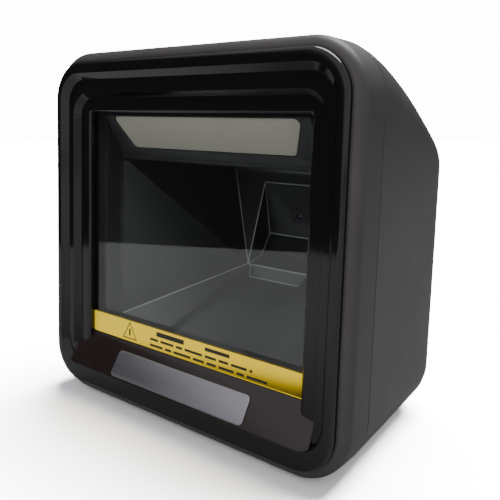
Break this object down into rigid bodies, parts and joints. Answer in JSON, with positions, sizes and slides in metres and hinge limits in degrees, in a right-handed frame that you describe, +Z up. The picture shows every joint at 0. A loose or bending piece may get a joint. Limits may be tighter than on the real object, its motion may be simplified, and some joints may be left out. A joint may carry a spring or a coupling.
{
  "type": "flatbed barcode scanner",
  "caption": "Desktop presentation barcode scanner: square glass window in a stepped gloss bezel, grey two-part housing, light chamber, lamp and small camera inside.",
  "frame": {"origin": "on the table, under the middle of the scanner's box", "axes": "+Z up, the window faces -Y, +X is to the right of someone who looks at the window"},
  "size_m": [0.148, 0.0996, 0.1483],
  "materials": {
    "housing_abs": "fine-textured dark grey moulded ABS",
    "gloss_black": "high-gloss black moulded acrylic-ABS",
    "window_glass": "clear float glass, lightly reflective",
    "black_foam": "matte black foam gasket",
    "yellow_film": "printed yellow film label",
    "silver_plate": "satin brushed silver plate",
    "matte_black": "matte black moulded ABS",
    "opal_diffuser": "opal light diffuser sheet, unlit",
    "white_plastic": "white moulded reflector",
    "circuit_board": "green solder mask on glass-epoxy board",
    "led_package": "yellow phosphor LED package",
    "socket_plastic": "natural nylon connector",
    "ribbon_film": "flat flexible cable film",
    "lens_glass": "coated lens glass",
    "chip_epoxy": "black epoxy chip package",
    "steel_screw": "zinc-plated steel",
    "tinned_steel": "tinned sheet steel",
    "socket_black": "black glass-filled nylon",
    "gold_contact": "gold-plated spring contacts",
    "silicone": "translucent silicone rubber",
    "brass_insert": "turned brass insert",
    "foot_rubber": "soft black rubber",
    "label_film": "blank silver-grey polyester label"
  },
  "bodies": {
    "housing": {"front_frame": "housing_abs", "rear_cover": "housing_abs", "bezel": "gloss_black", "window_glass": "window_glass", "window_gasket": "black_foam", "caution_strip": "yellow_film", "name_plate": "silver_plate", "light_chamber": "matte_black", "lamp_frame": "matte_black", "lamp_diffuser": "opal_diffuser", "lamp_reflector": "white_plastic", "lamp_board": "circuit_board", "lamp_leds": "led_package", "lamp_socket": "socket_plastic", "lamp_ribbon": "ribbon_film", "lens_barrel": "matte_black", "lens_glass": "lens_glass", "lens_holder": "matte_black", "image_sensor": "chip_epoxy", "camera_board": "circuit_board", "camera_screws": "steel_screw", "camera_ribbon": "ribbon_film", "main_board": "circuit_board", "processor": "chip_epoxy", "shield_can": "tinned_steel", "board_chips": "chip_epoxy", "board_sockets": "socket_plastic", "cable_socket": "socket_black", "socket_contacts": "gold_contact", "beeper": "socket_black", "button_domes": "silicone", "button_board": "circuit_board", "tact_switch": "tinned_steel", "button_screws": "steel_screw", "cover_screws": "steel_screw", "thread_inserts": "brass_insert", "chamber_screws": "steel_screw", "board_screws": "steel_screw", "rubber_feet": "foot_rubber", "rating_label": "label_film"},
    "button": {"scan_button": "housing_abs", "switch_plunger": "socket_black"}
  },
  "joints": [
    {"name": "button_press", "type": "slide", "parent": "housing", "child": "button", "axis": [0, 0, -1], "range_m": [0, 0.001], "stiffness_N_per_m": 900, "springref_m": -0.0004, "deforming": ["button_domes"]}
  ]
}
